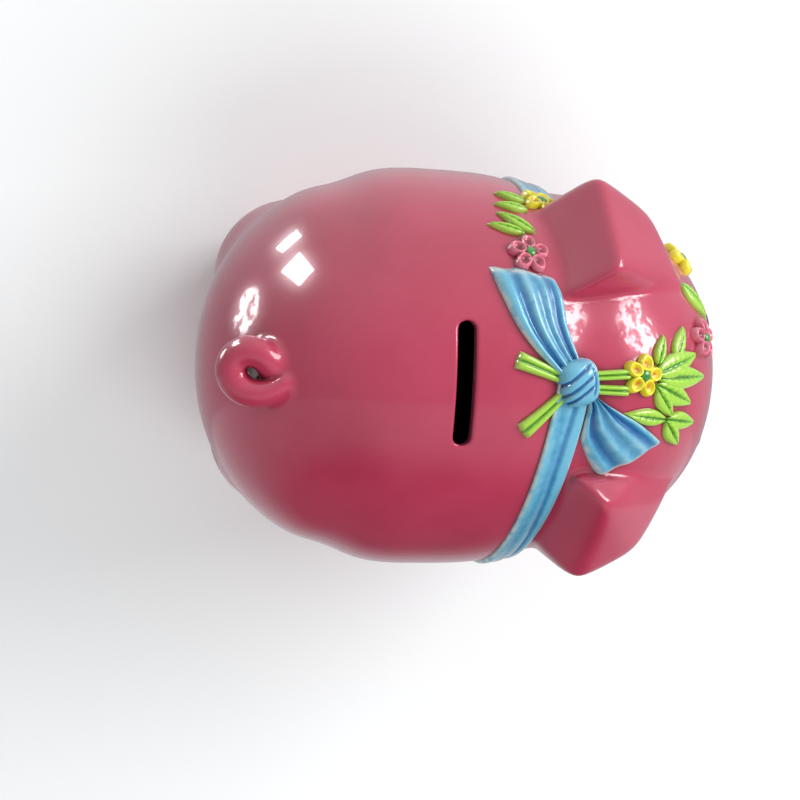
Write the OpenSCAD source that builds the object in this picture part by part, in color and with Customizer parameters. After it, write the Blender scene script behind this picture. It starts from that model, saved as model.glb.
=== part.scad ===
// Ceramic piggy bank: a slip-cast hollow body on four legs, with ears, snout, tail, a ribbon
// tied in a bow on the nape, sprigs of leaves and flowers, and a rubber stopper in the belly.
// Millimetres. +X is towards the snout, +Y the pig's left and +Z up. The origin is on the
// surface that the feet stand on, at the centre of the bounding box.

/* [Body] */
// Largest radius of the round body
body_r = 68; // [60:0.5:76]
// Length from the widest section back to the rump
rump_len = 72; // [66:0.5:80]
// Length from the widest section forward to the brow
head_len = 106; // [98:0.5:112]
// Bluntness of the rump (2 is an ellipse)
rump_power = 2.1; // [2:0.05:2.4]
// Bluntness of the face (2 is an ellipse)
head_power = 2.6; // [2.2:0.05:2.8]
// Depth of the dip round the neck, where the ribbon lies
neck_dip = 2.6; // [0:0.1:4]
// Wall thickness of the casting
wall = 4; // [3.5:0.1:6]
// Gap between the belly and the surface it stands on
belly_gap = 11; // [9:0.5:16]
// Radius of the bulge over each hind leg
haunch_r = 29; // [26:0.5:31]

/* [Coin slot] */
// Length of the slot across the back
slot_len = 38; // [34:0.5:44]
// Width of the slot
slot_w = 5.6; // [4.5:0.1:6.5]

/* [Stopper] */
// Radius of the hole in the belly
stopper_hole_r = 17; // [14:0.5:19]
// Radial clearance of the plug in the hole
stopper_gap = 0.1; // [0.05:0.05:0.3]
// Thickness of the flange that closes the hole
flange_t = 2.2; // [1.5:0.1:3]

/* [Legs] */
// Radius of each foot
foot_r = 14.5; // [13:0.5:15.5]
// Distance of each leg from the middle plane
leg_y = 33; // [30:0.5:36]

/* [Snout] */
// Radius of the snout disc
snout_r = 19.5; // [16:0.5:21]
// Distance of the snout's face from the widest section
snout_front = 112; // [110:0.5:116]

/* [Sprigs] */
// Height of a leaf above the body
leaf_h = 1.8; // [1.2:0.1:2.5]
// Height of a flower's petals above the body
petal_h = 2.6; // [2:0.1:3.5]
// Radius of a flower
flower_r = 7.2; // [6:0.1:8]
// Height of the ribbon round the neck
ribbon_h = 1.6; // [1.2:0.1:2.2]
// Height of the bow's two tails
bow_h = 2.8; // [2:0.1:3.5]

/* [Hidden] */

axis_z = body_r + belly_gap;                 // height of the body's axis
shift_x = -(snout_front - rump_len) / 2;     // from the bounding box's centre to the widest section
profile_step = 5;                            // degrees between the body profile's points
neck_x = 44;                                 // middle of the neck's dip
neck_w = 13;                                 // half its width, where a third of it is left
slot_x = 6.5;                                // centre of the coin slot, from the widest section
knot_x = 41.8;                               // centre of the bow's knot, from the widest section
haunch_at = [-36, 28, -36];                  // centre of the left haunch's sphere
leg_front_x = 16;
leg_rear_x = -42;
stopper_x = -13;                             // centre of the hole in the belly
eye_at = [21, 17];                           // the left eye, left of and above the axis

pink = [0.80, 0.33, 0.45];
rose = [0.86, 0.42, 0.52];
yellow = [0.95, 0.86, 0.12];
green = [0.52, 0.74, 0.24];
dark_green = [0.16, 0.45, 0.16];
blue = [0.45, 0.74, 0.87];
black = [0.05, 0.05, 0.06];
rubber = [0.16, 0.16, 0.17];

$fn = 96;

// ---------------------------------------------------------------- body surface

function power_at(x) = x < 0 ? rump_power : head_power;
function semi_at(x) = x < 0 ? rump_len : head_len;

// How much the neck's dip takes off the radius at x.
function dip_at(x) = neck_dip * exp(-pow((x - neck_x) / neck_w, 2));

// Radius of the body at x, measured from the widest section.
function radius_at(x) =
    body_r * pow(1 - pow(abs(x) / semi_at(x), power_at(x)), 1 / power_at(x)) - dip_at(x);

// Angle between the body's outward normal at x and the radial direction.
function lean_at(x) = atan(-(radius_at(x + 0.1) - radius_at(x - 0.1)) / 0.2);

// One point of the profile, [radius, x], at angle a from the rump (0) to the brow (180).
function profile_point(a, grow) =
    let (front = a > 90,
         n = front ? head_power : rump_power,
         len = (front ? head_len : rump_len) + grow,
         x = (front ? len : -len) * pow(abs(cos(a)), 2 / n))
    [max(0, (body_r + grow) * pow(sin(a), 2 / n) - dip_at(x)), x];

// Puts children in the body's own frame: its axis along X, the widest section at x = 0.
module in_body() {
    translate([shift_x, 0, axis_z]) children();
}

// The plain body, grown outwards by a distance.
module revolved_body(grow = 0) {
    in_body()
        rotate([0, 90, 0])
            rotate_extrude()
                polygon([for (a = [0:profile_step:180]) profile_point(a, grow)]);
}

// The body with the bulges over its hind legs.
module body_outside() {
    revolved_body();
    for (side = [-1, 1])
        in_body()
            translate([haunch_at[0], side * haunch_at[1], haunch_at[2]])
                sphere(haunch_r);
}

// Puts children on the body's surface at x and an angle from the top towards the pig's left.
// There +Z points out of the body and +X towards the head.
module on_body(x, angle) {
    in_body()
        rotate([-angle, 0, 0])
            translate([x, 0, radius_at(x)])
                rotate([0, lean_at(x), 0])
                    children();
}

// What is left of children between the body's surface and a height above it.
module relief(height) {
    intersection() {
        children();
        difference() {
            revolved_body(height);
            revolved_body();
        }
    }
}

// A prism through the body's surface over a flat outline.
module punch(depth = 6) {
    translate([0, 0, -depth])
        linear_extrude(depth + 5)
            children();
}

// ---------------------------------------------------------------- casting

module coin_slot_outline() {
    for (side = [-1, 1])
        translate([0, side * (slot_len - slot_w) / 2]) circle(slot_w / 2);
    square([slot_w, slot_len - slot_w], center = true);
}

module body_shell() {
    color(pink)
        difference() {
            body_outside();
            revolved_body(-wall);
            in_body() translate([slot_x, 0, 0]) linear_extrude(body_r + 5) coin_slot_outline();
            translate([shift_x + stopper_x, 0, 0]) cylinder(r = stopper_hole_r, h = axis_z - body_r / 2);
        }
}

// A short leg with a rounded sole, from the floor up into the body.
module leg(x, side) {
    sole = 2;
    top = axis_z - body_r / 2;
    color(pink)
        difference() {
            translate([shift_x + x, side * leg_y, 0])
                rotate_extrude()
                    polygon(concat(
                        [[0, 0]],
                        [for (a = [-90:15:0]) [foot_r - sole + sole * cos(a), sole + sole * sin(a)]],
                        [[foot_r - 1, top], [0, top]]));
            body_outside();
        }
}

ear_tip = [51.5, 61.5, 44];
ear_crest = [54, 37.5, 61];
ear_brim = [67, 51, 41];                     // the bulge of the ear's front edge
ear_base = [
    [46, 29, 57], [63, 30, 53], [79, 33, 40], [37, 52, 37.5], [44, 59, 20], [68, 52, 20]
];
ear_scoop = [63, 25, 67];                    // centre of the hollow's sphere, outside the ear
ear_scoop_r = 14.5;

// A folded, three-sided ear with a hollow that faces the middle of the head.
module ear(side) {
    color(pink)
        difference() {
            mirror([0, side < 0 ? 1 : 0, 0])
                in_body()
                    difference() {
                        hull() {
                            translate(ear_tip) sphere(3, $fn = 20);
                            translate(ear_crest) sphere(4, $fn = 20);
                            translate(ear_brim) sphere(4, $fn = 20);
                            for (p = ear_base) translate(p) sphere(3, $fn = 16);
                        }
                        translate(ear_scoop) sphere(ear_scoop_r);
                    }
            revolved_body();
            ribbon_solid();
            flower_keep_out(yellow_nape, 0.1);
        }
}

snout_drop = 22;                             // snout's centre below the body's axis
nostril = [6.5, 2.6, 4];                     // distance from the middle, radius and depth

module snout() {
    edge = 3;
    back = head_len - 26;
    color(pink)
        difference() {
            in_body()
                translate([0, 0, -snout_drop])
                    rotate([0, 90, 0])
                        difference() {
                            rotate_extrude()
                                polygon(concat(
                                    [[0, back], [snout_r - 1, back]],
                                    [for (a = [0:15:90])
                                        [snout_r - edge + edge * cos(a), snout_front - edge + edge * sin(a)]],
                                    [[0, snout_front]]));
                            for (side = [-1, 1])
                                translate([0, side * nostril[0], snout_front - nostril[2]])
                                    cylinder(r = nostril[1], h = nostril[2] + 1);
                        }
            revolved_body();
        }
}

// A low bead of black glaze on the face.
module eye(side) {
    eye_r = 3.8;
    color(black)
        relief(1)
            in_body()
                translate([head_len * 0.8, side * eye_at[0], eye_at[1]])
                    rotate([0, 90, 0])
                        cylinder(r = eye_r, h = head_len);
}

// ---------------------------------------------------------------- curled tail

tail_at = [-57, 1, 50.5];                  // centre of the curl
tail_lean = -35;                             // the curl's face leans back with the rump
tail_rings = 30;
tail_sides = 12;

// Centre line of the tail in the curl's own plane, t from 0 at the root to 1 at the tip.
function tail_point(t) =
    let (angle = -12 - 345 * t, reach = 7.6 + 5 * pow(1 - t, 6))
    [reach * cos(angle), reach * sin(angle), -6 + 8 * sin(180 * t)];

function tail_radius(t) = 5 - 3.1 * t;

// A ring of points across the centre line at t.
function tail_ring(t) =
    let (way = tail_point(t + 0.005) - tail_point(t - 0.005),
         along = way / norm(way),
         flat = cross(along, [0, 0, 1]),
         side = flat / norm(flat),
         up = cross(side, along))
    [for (k = [0:tail_sides - 1])
        let (a = 360 * k / tail_sides)
        tail_point(t) + tail_radius(t) * (side * cos(a) + up * sin(a))];

module tail() {
    points = [for (i = [0:tail_rings]) each tail_ring(i / tail_rings)];
    ends = [
        [for (k = [tail_sides - 1:-1:0]) k],
        [for (k = [0:tail_sides - 1]) tail_rings * tail_sides + k]
    ];
    walls = [for (i = [0:tail_rings - 1], k = [0:tail_sides - 1])
        let (a = i * tail_sides + k, b = i * tail_sides + (k + 1) % tail_sides)
        each [[a, b + tail_sides, a + tail_sides], [a, b, b + tail_sides]]];
    color(pink)
        difference() {
            in_body() translate(tail_at) rotate([0, tail_lean, 0])
                polyhedron(points, concat(ends, walls), convexity = 6);
            revolved_body();
        }
}

// ---------------------------------------------------------------- stopper

// A soft plug with a flange outside, a hollow inside and a bar across it to pull it by.
module rubber_stopper() {
    plug_r = stopper_hole_r - stopper_gap;
    plug_top = belly_gap + wall + 4;
    flange_r = stopper_hole_r + 3.5;
    flange_top = belly_gap - 0.1;            // just below the lowest line of the belly
    flange_low = flange_top - flange_t;
    bar = [flange_r, 3, 2.4];
    color(rubber)
        translate([shift_x + stopper_x, 0, 0]) {
            rotate_extrude()
                polygon([
                    [0, flange_low], [flange_r - 1, flange_low], [flange_r, flange_low + 0.8],
                    [flange_r, flange_top], [plug_r, flange_top], [plug_r, plug_top - 1.5],
                    [plug_r - 1.5, plug_top], [plug_r - 3, plug_top], [plug_r - 3, flange_top + 2],
                    [0, flange_top + 2]
                ]);
            translate([-bar[0] / 2, -bar[1] / 2, flange_low - bar[2]])
                cube([bar[0], bar[1], bar[2] + 1]);
        }
}

// ---------------------------------------------------------------- ribbon and bow

band_w = 11.5;
band_slant = [0.07, 0.15];                   // how fast the band runs back to the left and the right
band_end = 68.5;                              // angle from the top where the garland covers the band

// The band as seen from above: a chevron that points forward under the knot.
module band_outline() {
    reach = body_r + 6;
    left = knot_x - band_slant[0] * reach;
    right = knot_x - band_slant[1] * reach;
    polygon([
        [knot_x + band_w / 2, 0], [left + band_w / 2, reach], [left - band_w / 2, reach],
        [knot_x - band_w / 2, 0], [right - band_w / 2, -reach], [right + band_w / 2, -reach]
    ]);
}

// The ribbon round the neck, from the knot down the right side, under the chin and up to
// the garland on the left.
module ribbon_solid() {
    open_side = 3 * body_r * [sin(band_end), cos(band_end)];
    relief(ribbon_h)
        difference() {
            in_body() translate([0, 0, -body_r - 5]) linear_extrude(2 * body_r + 10) band_outline();
            in_body()
                rotate([90, 0, 90])
                    linear_extrude(2 * body_r) polygon([[0, 0], [0, 3 * body_r], open_side]);
        }
}

module ribbon_band() {
    color(blue) ribbon_solid();
}

knot_r = 6.4;
knot_half = 7.6;

// The knot: a rounded barrel that lies across the back.
module knot_body() {
    on_body(knot_x, 1)
        rotate([90, 0, 12])
            rotate_extrude()
                polygon([for (a = [-90:10:90]) [knot_r * pow(cos(a), 0.6), knot_half * sin(a)]]);
}

module bow_knot() {
    color(blue)
        difference() {
            knot_body();
            revolved_body(ribbon_h);
        }
}

// Outlines of the bow's tails on the surface round the knot, [along the body, round it].
left_tail = [
    [-4, 1], [-7.7, 3.5], [-15.3, 11], [-20.3, 18], [-24, 27], [-26, 33.5], [-24.5, 35.5], [-18, 34.8],
    [-12, 33.3], [-4.6, 31.5], [-3, 26], [-2.5, 17.5], [0.4, 8.4], [2, 3]
];
right_tail = [
    [5.5, -2], [5.2, -8], [4.6, -12], [4.4, -17.5], [8, -23.5], [13, -29.5], [15, -30.3], [20, -28.8], [27.5, -24.5],
    [34.6, -19.8], [35, -18.4], [22.8, -12], [15, -8.5], [7.3, -4.4], [5.8, -1.6]
];

module bow_tail_prism(outline) {
    on_body(knot_x, 1) punch(16) polygon(outline);
}

module bow_tail_left() {
    color(blue)
        difference() {
            relief(bow_h) bow_tail_prism(left_tail);
            knot_body();
            flower_keep_out(pink_nape, 0.1);
        }
}

module bow_tail_right() {
    color(blue)
        difference() {
            relief(bow_h) bow_tail_prism(right_tail);
            knot_body();
            ear(-1);
        }
}

// ---------------------------------------------------------------- stems

// Each stem: [start, end] on the surface round the knot, [width at the start, at the end].
rear_left_stem = [[[-3, 0.8], [-20.2, 6.9]], [3.4, 5.6]];
rear_right_stem = [[[-3, -3], [-16.8, -15.6]], [3.4, 6]];
front_stems = [
    [[[3, 2], [18, 3.2]], [3, 3.4]],
    [[[3, -1.8], [18, -2.2]], [3, 3.4]]
];

module stem_outline(stem) {
    way = stem[0][1] - stem[0][0];
    side = [-way[1], way[0]] / norm(way);
    polygon([
        stem[0][0] + side * stem[1][0] / 2, stem[0][1] + side * stem[1][1] / 2,
        stem[0][1] - side * stem[1][1] / 2, stem[0][0] - side * stem[1][0] / 2
    ]);
}

module stem_prism(stem) {
    on_body(knot_x, 1) punch(12) stem_outline(stem);
}

module stem_rear_left() {
    color(green)
        difference() {
            relief(leaf_h) stem_prism(rear_left_stem);
            knot_body();
            bow_tail_prism(left_tail);
        }
}

module stem_rear_right() {
    color(green)
        difference() {
            relief(leaf_h) stem_prism(rear_right_stem);
            ribbon_solid();
            knot_body();
        }
}

module stems_front() {
    color(green)
        difference() {
            relief(leaf_h) for (s = front_stems) stem_prism(s);
            ribbon_solid();
            knot_body();
            flower_keep_out(yellow_crown, 0.1);
            bow_tail_prism(right_tail);
        }
}

// ---------------------------------------------------------------- flowers

// Each flower: [x from the widest section, angle from the top, turn of its petals].
yellow_crown = [64.7, 3.6, 8];
pink_brow = [91, 20, 30];
yellow_temple = [89, 62, 0];
pink_nape = [27.5, 36.5, 20];
yellow_nape = [36.5, 61, 0];
petals = 5;
petal_r = flower_r * 0.44;
centre_r = 1.5;

module flower_outline(turn) {
    for (k = [0:petals - 1])
        rotate(turn + 360 * k / petals)
            translate([flower_r - petal_r, 0]) circle(petal_r);
    circle(flower_r * 0.5);
}

// The space that a flower takes, for what lies round it.
module flower_keep_out(flower, gap) {
    on_body(flower[0], flower[1]) punch() circle(flower_r + gap);
}

// A flower's petals in one piece, less its middle.
module flower_petals(flower, shade) {
    color(shade)
        difference() {
            relief(petal_h)
                on_body(flower[0], flower[1]) punch() flower_outline(flower[2]);
            on_body(flower[0], flower[1]) punch() circle(centre_r);
        }
}

// The green button in a flower's middle.
module flower_centre(flower) {
    color(dark_green)
        relief(petal_h + 0.6)
            on_body(flower[0], flower[1]) punch() circle(centre_r);
}

// ---------------------------------------------------------------- leaves

// Each leaf: [x and angle of its base, heading from the head's way towards the pig's left, [length, width]].
crown_small = [[70, 7], 73, [10.5, 4.6]];
crown_tall = [[77, 9], 64, [13, 5.6]];
crown_broad = [[[69, 4], 20, [22.5, 8]], [[70, 3], 2, [26, 8]]];
crown_low = [[[70, 1], -20, [19.5, 7.5]], [[70, 0], -48, [13, 6.5]]];
side_back = [[75, -10.5], 170, [17, 5.6]];
side_front = [[75.6, -10.5], -12, [16, 6.2]];
side_down = [[75, -11.2], -48, [13, 6.4]];
temple_leaf = [[83, 40], -14, [18, 7]];
nape_leaves = [
    [[27.5, 43.4], 167, [12.5, 3.8]],
    [[31, 44.6], 148, [14, 4.6]],
    [[30.5, 54], 176, [11.5, 4]],
    [[30.5, 58.5], 165, [10.5, 4]]
];

// A leaf that is round at its base and pointed at its tip.
module leaf_outline(size) {
    steps = 16;
    edge = [for (i = [0:steps]) [size[0] * i / steps, size[1] / 2 * sin(180 * pow(i / steps, 0.8))]];
    polygon(concat(edge, [for (i = [steps - 1:-1:1]) [edge[i][0], -edge[i][1]]]));
}

module leaf_prism(leaf) {
    on_body(leaf[0][0], leaf[0][1]) punch(9) rotate(leaf[1]) leaf_outline(leaf[2]);
}

// A leaf, cut back by what lies over it.
module leaf(leaf) {
    color(green)
        difference() {
            relief(leaf_h) leaf_prism(leaf);
            children();
        }
}

module crown_flower_space() {
    flower_keep_out(yellow_crown, 0.1);
}

module leaf_crown_broad() {
    color(green)
        difference() {
            relief(leaf_h + 0.4) for (l = crown_broad) leaf_prism(l);
            crown_flower_space();
        }
}

module leaf_crown_low() {
    color(green)
        difference() {
            relief(leaf_h) for (l = crown_low) leaf_prism(l);
            crown_flower_space();
            for (l = crown_broad) leaf_prism(l);
        }
}

// ---------------------------------------------------------------- assembly

body_shell();
leg(leg_front_x, 1);  // leg_front_left
leg(leg_front_x, -1);  // leg_front_right
leg(leg_rear_x, 1);  // leg_rear_left
leg(leg_rear_x, -1);  // leg_rear_right
ear(1);  // ear_left
ear(-1);  // ear_right
snout();
eye(1);  // eye_left
eye(-1);  // eye_right
tail();
rubber_stopper();
ribbon_band();
bow_knot();
bow_tail_left();
bow_tail_right();
stem_rear_left();
stem_rear_right();
stems_front();
flower_petals(yellow_crown, yellow);  // yellow_flower_crown
flower_centre(yellow_crown);  // yellow_crown_centre
flower_petals(pink_brow, rose);  // pink_flower_brow
flower_centre(pink_brow);  // pink_brow_centre
flower_petals(yellow_temple, yellow);  // yellow_flower_temple
flower_centre(yellow_temple);  // yellow_temple_centre
flower_petals(pink_nape, rose);  // pink_flower_nape
flower_centre(pink_nape);  // pink_nape_centre
flower_petals(yellow_nape, yellow);  // yellow_flower_nape
flower_centre(yellow_nape);  // yellow_nape_centre
leaf(crown_small) {  // leaf_crown_small
    crown_flower_space();
    leaf_prism(crown_broad[0]);
}
leaf(crown_tall) leaf_prism(crown_broad[0]);  // leaf_crown_tall
leaf_crown_broad();
leaf_crown_low();
leaf(side_back) bow_tail_prism(right_tail);  // leaf_side_back
leaf(side_front) {  // leaf_side_front
    leaf_prism(side_back);
    leaf_prism(crown_low[1]);
}
leaf(side_down) {  // leaf_side_down
    leaf_prism(side_back);
    leaf_prism(side_front);
}
leaf(temple_leaf) flower_keep_out(pink_brow, 0.1);  // leaf_temple
leaf(nape_leaves[0]) flower_keep_out(pink_nape, 0.1);  // leaf_nape_long
leaf(nape_leaves[1]) leaf_prism(nape_leaves[0]);  // leaf_nape_wide
leaf(nape_leaves[2]) flower_keep_out(yellow_nape, 0.1);  // leaf_nape_upper
leaf(nape_leaves[3]) {  // leaf_nape_outer
    flower_keep_out(yellow_nape, 0.1);
    leaf_prism(nape_leaves[2]);
}
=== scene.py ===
"""Looks for the ceramic piggy bank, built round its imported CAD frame.

Shapes are worked out in millimetres from the widest section on the body's axis, with +X to the
snout, +Y to the pig's left and +Z up, and turned into the frame's metres when a mesh is made.
"""
import math

import bmesh
import bpy
import numpy as np
from mathutils import Matrix, Vector


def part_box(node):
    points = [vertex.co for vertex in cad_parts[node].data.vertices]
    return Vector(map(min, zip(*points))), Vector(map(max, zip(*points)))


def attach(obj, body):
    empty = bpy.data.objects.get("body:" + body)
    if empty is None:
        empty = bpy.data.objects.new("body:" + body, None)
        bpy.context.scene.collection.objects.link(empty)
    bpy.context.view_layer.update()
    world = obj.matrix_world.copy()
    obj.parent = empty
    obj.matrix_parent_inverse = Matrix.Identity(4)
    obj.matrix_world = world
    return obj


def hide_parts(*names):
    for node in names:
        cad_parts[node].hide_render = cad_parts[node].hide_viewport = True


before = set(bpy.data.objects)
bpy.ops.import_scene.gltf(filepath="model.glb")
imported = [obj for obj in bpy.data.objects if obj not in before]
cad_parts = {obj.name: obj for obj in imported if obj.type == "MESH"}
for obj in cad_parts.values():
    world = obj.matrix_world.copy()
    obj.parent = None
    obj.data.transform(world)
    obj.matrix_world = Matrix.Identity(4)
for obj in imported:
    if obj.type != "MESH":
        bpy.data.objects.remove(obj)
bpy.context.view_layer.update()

# ---------------------------------------------------------------- sizes

MM = 0.001
RUMP_LEN, BROW_LEN = 72.0, 106.0          # widest section to the rump and to the brow
RUMP_POWER, BROW_POWER = 2.1, 2.6         # bluntness of each end, where 2 is an ellipse
NECK_X, NECK_W, NECK_DIP = 44.0, 13.0, 2.6
WAIST_X, WAIST_W, WAIST_DIP = -27.0, 9.0, 1.7
HAUNCH = (-36.0, 28.0, -36.0)
HAUNCH_R = 29.0
WALL = 4.0
KNOT_X = 41.8
SLOT_X, SLOT_REACH, SLOT_R = 6.7, 16.2, 2.8
STOPPER_X, STOPPER_HOLE_R = -13.0, 17.0
LIP_R = 1.1                               # rounding of the glazed edge of the two holes
SINK = 0.8                                # how far the relief goes below the skin

shell_low, shell_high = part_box("body_shell")
BODY_R = (shell_high[2] - shell_low[2]) / 2 / MM
AXIS_Z = (shell_high[2] + shell_low[2]) / 2 / MM
WIDEST_X = shell_low[0] / MM + RUMP_LEN
ORIGIN = np.array([WIDEST_X, 0.0, AXIS_Z])


def to_frame(points):
    return (np.asarray(points, float) + ORIGIN) * MM


# ---------------------------------------------------------------- fields
# A field gives the distance from a surface in mm, which is negative inside it.


def smooth_min(a, b, k):
    h = np.clip(0.5 + 0.5 * (b - a) / k, 0, 1)
    return b + (a - b) * h - k * h * (1 - h)


def smooth_max(a, b, k):
    return -smooth_min(-a, -b, k)


def bump(x, centre, width):
    return np.exp(-(((x - centre) / width) ** 2))


def revolved(p):
    """The body of revolution, with a dip round the neck and a shallow waist at the flanks."""
    x, rho = p[:, 0], np.hypot(p[:, 1], p[:, 2])
    rear = x < 0
    n = np.where(rear, RUMP_POWER, BROW_POWER)
    reach = np.where(rear, RUMP_LEN, BROW_LEN)
    ux, ur = np.abs(x) / reach, rho / BODY_R
    s = np.maximum((ux**n + ur**n) ** (1 / n), 1e-6)
    slope = np.hypot((ux / s) ** (n - 1) / reach, (ur / s) ** (n - 1) / BODY_R)
    flank = (p[:, 1] / np.maximum(rho, 1e-6)) ** 2
    neck = NECK_DIP * bump(x, NECK_X, NECK_W)
    waist = WAIST_DIP * flank * bump(x, WAIST_X, WAIST_W)
    return (s - 1) / slope + neck + waist


def ball(p, centre, radius):
    return np.linalg.norm(p - np.array(centre), axis=1) - radius


def body_field(p):
    d = revolved(p)
    for side in (-1, 1):
        d = smooth_min(d, ball(p, (HAUNCH[0], side * HAUNCH[1], HAUNCH[2]), HAUNCH_R), 9.0)
    return d


def gradient(field, p, step=0.05):
    g = np.empty_like(p)
    for k in range(3):
        e = np.zeros(3)
        e[k] = step
        g[:, k] = (field(p + e) - field(p - e)) / (2 * step)
    return g


def normals_of(field, p):
    g = gradient(field, p)
    return g / np.maximum(np.linalg.norm(g, axis=1, keepdims=True), 1e-9)


def settle(field, p, target=0.0, rounds=6, most=2.0):
    """Moves points along the field's slope to where it has the target value."""
    p = np.array(p, float)
    for _ in range(rounds):
        g = gradient(field, p)
        step = (field(p) - target)[:, None] * g / np.maximum((g * g).sum(1, keepdims=True), 0.05)
        size = np.linalg.norm(step, axis=1, keepdims=True)
        p -= step * np.minimum(1, most / np.maximum(size, 1e-9))
    return p


def slide_to(field, p, way, target, rounds=8):
    """Moves each point along its own direction to where the field has the target value."""
    p = np.array(p, float)
    way = np.broadcast_to(way, p.shape)
    for _ in range(rounds):
        h = 0.05
        slope = (field(p + way * h) - field(p - way * h)) / (2 * h)
        slope = np.where(np.abs(slope) < 0.15, 0.15, slope)
        p += way * ((target - field(p)) / slope)[:, None]
    return p


def surface_x(x, angle):
    """The point on the body at x and an angle from the top towards the left, and its local axes."""
    a = math.radians(angle)
    out = np.array([0.0, math.sin(a), math.cos(a)])
    p = slide_to(body_field, np.array([[x, 0, 0]]) + out * BODY_R * 0.9, out, 0.0)[0]
    up = normals_of(body_field, p[None])[0]
    left = np.cross(up, (1.0, 0.0, 0.0))
    left /= np.linalg.norm(left)
    return p, np.cross(left, up), left, up


# ---------------------------------------------------------------- meshes


def new_piece(name, points, faces, material, nodes, normals=None, marks=None, body="bank"):
    """Makes a mesh piece in the frame, rides it on its body and lets it stand for CAD nodes."""
    mesh = bpy.data.meshes.new(name)
    mesh.from_pydata(to_frame(points).tolist(), [], [list(map(int, f)) for f in faces])
    mesh.validate()
    mesh.polygons.foreach_set("use_smooth", [True] * len(mesh.polygons))
    for mark, values in (marks or {}).items():
        mesh.attributes.new(mark, "FLOAT", "POINT").data.foreach_set("value", np.asarray(values, "f"))
    if normals is not None:
        mesh.normals_split_custom_set_from_vertices(np.asarray(normals).tolist())
    mesh.materials.append(material)
    obj = bpy.data.objects.new(name, mesh)
    bpy.context.collection.objects.link(obj)
    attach(obj, body)
    if nodes:
        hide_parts(*nodes)
    return obj


def surface_net(field, low, high, step):
    """The closed surface where the field is zero inside a box, as points and quads."""
    axes = [np.arange(a, b + step, step) for a, b in zip(low, high)]
    grid = np.stack(np.meshgrid(*axes, indexing="ij"), -1)
    value = field(grid.reshape(-1, 3)).reshape(grid.shape[:3])
    cells = tuple(np.array(value.shape) - 1)
    total, count = np.zeros((*cells, 3)), np.zeros(cells)
    for axis in range(3):
        others = [k for k in range(3) if k != axis]
        for da in (0, 1):
            for db in (0, 1):
                start = [0, 0, 0]
                start[others[0]], start[others[1]] = da, db
                here = tuple(slice(s, s + c) for s, c in zip(start, cells))
                start[axis] = 1
                there = tuple(slice(s, s + c) for s, c in zip(start, cells))
                a, b = value[here], value[there]
                crossing = (a < 0) != (b < 0)
                t = np.where(crossing, a / np.where(a == b, 1, a - b), 0)
                point = grid[here].copy()
                point[..., axis] += t * step
                total += point * crossing[..., None]
                count += crossing
    used = count > 0
    index = -np.ones(cells, int)
    index[used] = np.arange(used.sum())
    points = total[used] / count[used][:, None]
    faces = []
    for axis in range(3):
        b, c = (axis + 1) % 3, (axis + 2) % 3
        lo = [slice(1, n) for n in cells]
        lo[axis] = slice(0, cells[axis])
        hi = list(lo)
        hi[axis] = slice(1, cells[axis] + 1)
        first, second = value[tuple(lo)] < 0, value[tuple(hi)] < 0
        where = np.argwhere(first != second)
        if not len(where):
            continue
        at = where + np.array([0 if k == axis else 1 for k in range(3)])
        back_b, back_c = np.eye(3, dtype=int)[b], np.eye(3, dtype=int)[c]
        shifts = (0 * back_b, back_b, back_b + back_c, back_c)
        quad = np.stack([index[tuple((at - shift).T)] for shift in shifts], 1)
        flip = first[tuple(where.T)]
        quad[~flip] = quad[~flip][:, ::-1]
        faces.append(quad)
    return points, np.concatenate(faces)


def slab(top, bottom):
    """A closed solid between two grids of points of the same size."""
    rows, cols = top.shape[:2]
    count = rows * cols
    at = np.arange(count).reshape(rows, cols)
    quads = np.stack([at[:-1, :-1], at[1:, :-1], at[1:, 1:], at[:-1, 1:]], -1).reshape(-1, 4)
    rim = np.concatenate([at[0, :-1], at[:-1, -1], at[-1, :0:-1], at[:0:-1, 0]])
    nxt = np.roll(rim, -1)
    side = np.stack([rim, nxt, nxt + count, rim + count], 1)
    faces = np.concatenate([quads, quads[:, ::-1] + count, side])
    return np.concatenate([top.reshape(-1, 3), bottom.reshape(-1, 3)]), faces


def curve_through(points, count):
    """A smooth curve through given points, sampled evenly along its chord length."""
    pts = np.asarray(points, float)
    along = np.concatenate([[0], np.cumsum(np.linalg.norm(np.diff(pts, axis=0), axis=1))])
    ext = np.vstack([2 * pts[0] - pts[1], pts, 2 * pts[-1] - pts[-2]])
    want = np.linspace(0, along[-1], count)
    out = []
    for w in want:
        i = min(np.searchsorted(along, w, side="right") - 1, len(pts) - 2)
        t = (w - along[i]) / (along[i + 1] - along[i])
        p0, p1, p2, p3 = ext[i : i + 4]
        square = (2 * p0 - 5 * p1 + 4 * p2 - p3) * t**2
        cube = (3 * p1 - p0 - 3 * p2 + p3) * t**3
        out.append(0.5 * (2 * p1 + (p2 - p0) * t + square + cube))
    return np.array(out)


def lay(base, flat, heights):
    """Points over flat places round a base on the body, each at its own height above the surface."""
    origin, ahead, left, up = base
    p = origin + flat[:, :1] * ahead + flat[:, 1:2] * left
    return slide_to(body_field, p, up, heights)


# ---------------------------------------------------------------- materials


def srgb(r, g, b):
    """A linear colour from the 0 to 255 values of the usual display curve."""

    def linear(c):
        return ((c / 255 + 0.055) / 1.055) ** 2.4 if c > 10 else c / 255 / 12.92

    return (linear(r), linear(g), linear(b), 1.0)


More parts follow.
